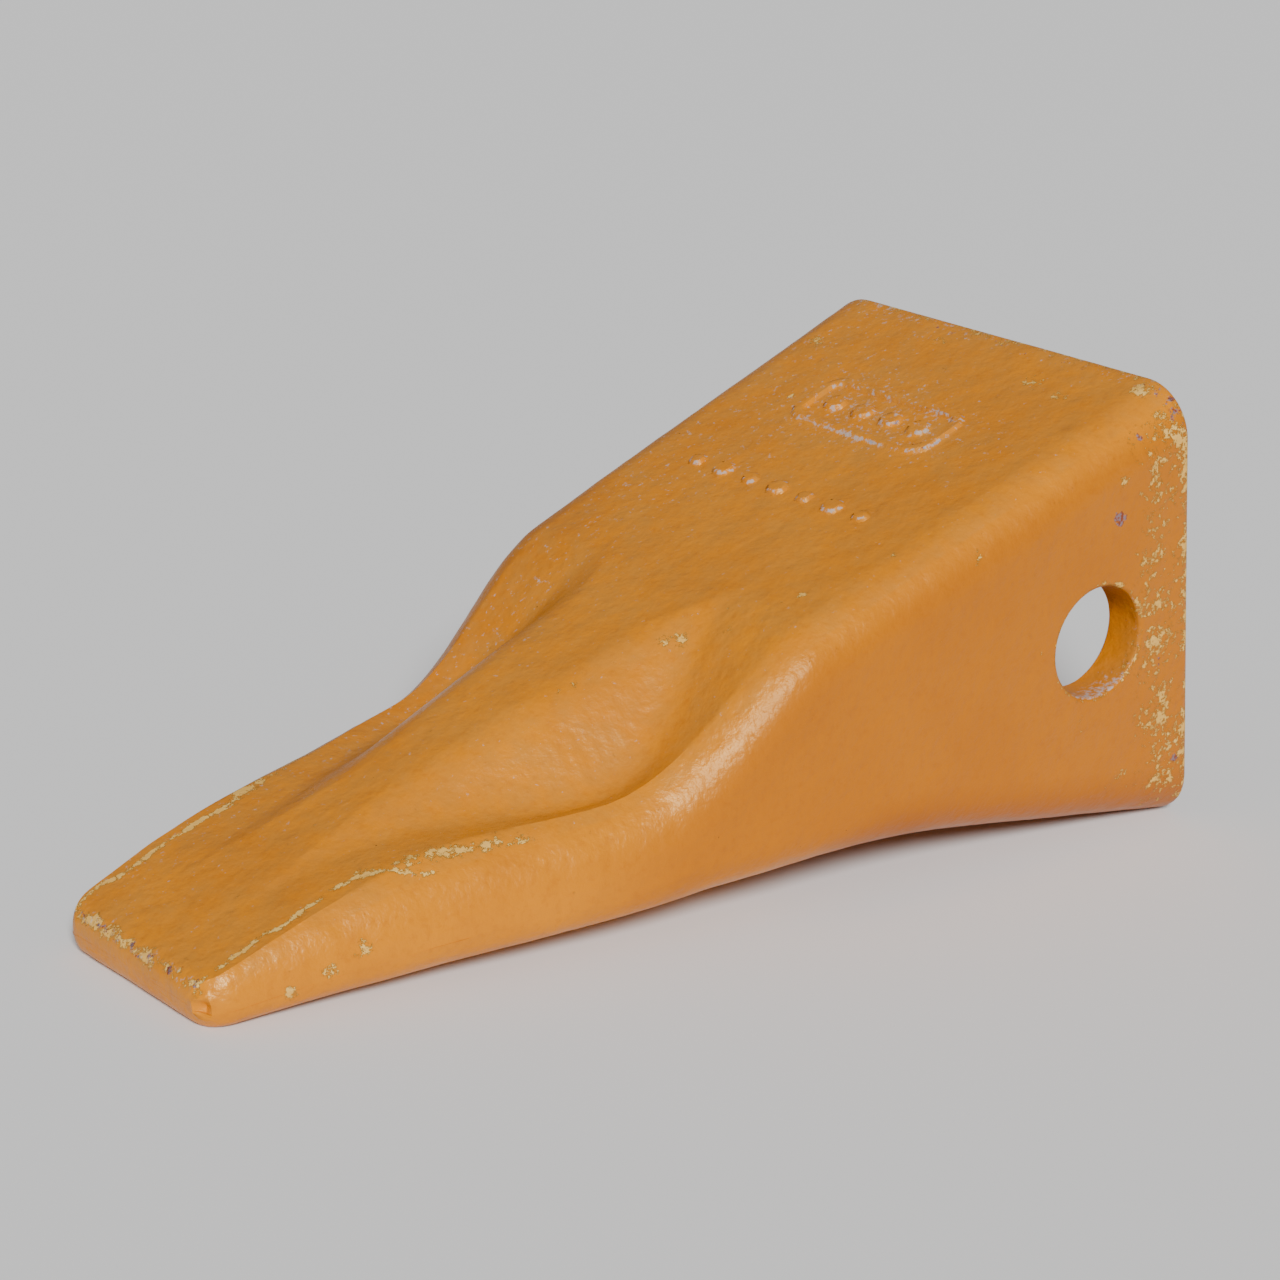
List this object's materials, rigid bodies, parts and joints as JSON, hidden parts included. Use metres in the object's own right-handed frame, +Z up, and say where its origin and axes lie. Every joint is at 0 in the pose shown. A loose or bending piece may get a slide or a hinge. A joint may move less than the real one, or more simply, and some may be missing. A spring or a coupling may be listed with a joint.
{
  "type": "excavator bucket tooth",
  "caption": "Side-pinned cast bucket tooth with an adapter socket, scooped blade and blunt tip, with its lock pin and snap-ring retainer.",
  "frame": {"origin": "on the floor, under the middle of the whole assembly's box, the tooth lying on its heel and its tip", "axes": "+X from the rear rim towards the digging tip, +Y towards the side whose bore is empty, +Z up"},
  "size_m": [0.3646, 0.2084, 0.1506],
  "materials": {
    "casting_paint": "satin, worn at the edges",
    "pin_steel": "turned, lightly oiled",
    "retainer_rubber": "matt moulded",
    "spring_steel": "blued"
  },
  "bodies": {
    "tooth": {"tooth_casting": "casting_paint"},
    "lock_pin": {"lock_pin": "pin_steel"},
    "retainer": {"retainer_body": "retainer_rubber", "retainer_spring": "spring_steel"}
  },
  "joints": [
    {"name": "pin_slide", "type": "slide", "parent": "tooth", "child": "lock_pin", "axis": [0, 1, 0], "range_m": [-0.113, 0.048]},
    {"name": "retainer_slide", "type": "slide", "parent": "tooth", "child": "retainer", "axis": [0, 1, 0], "range_m": [0, 0.045]}
  ]
}
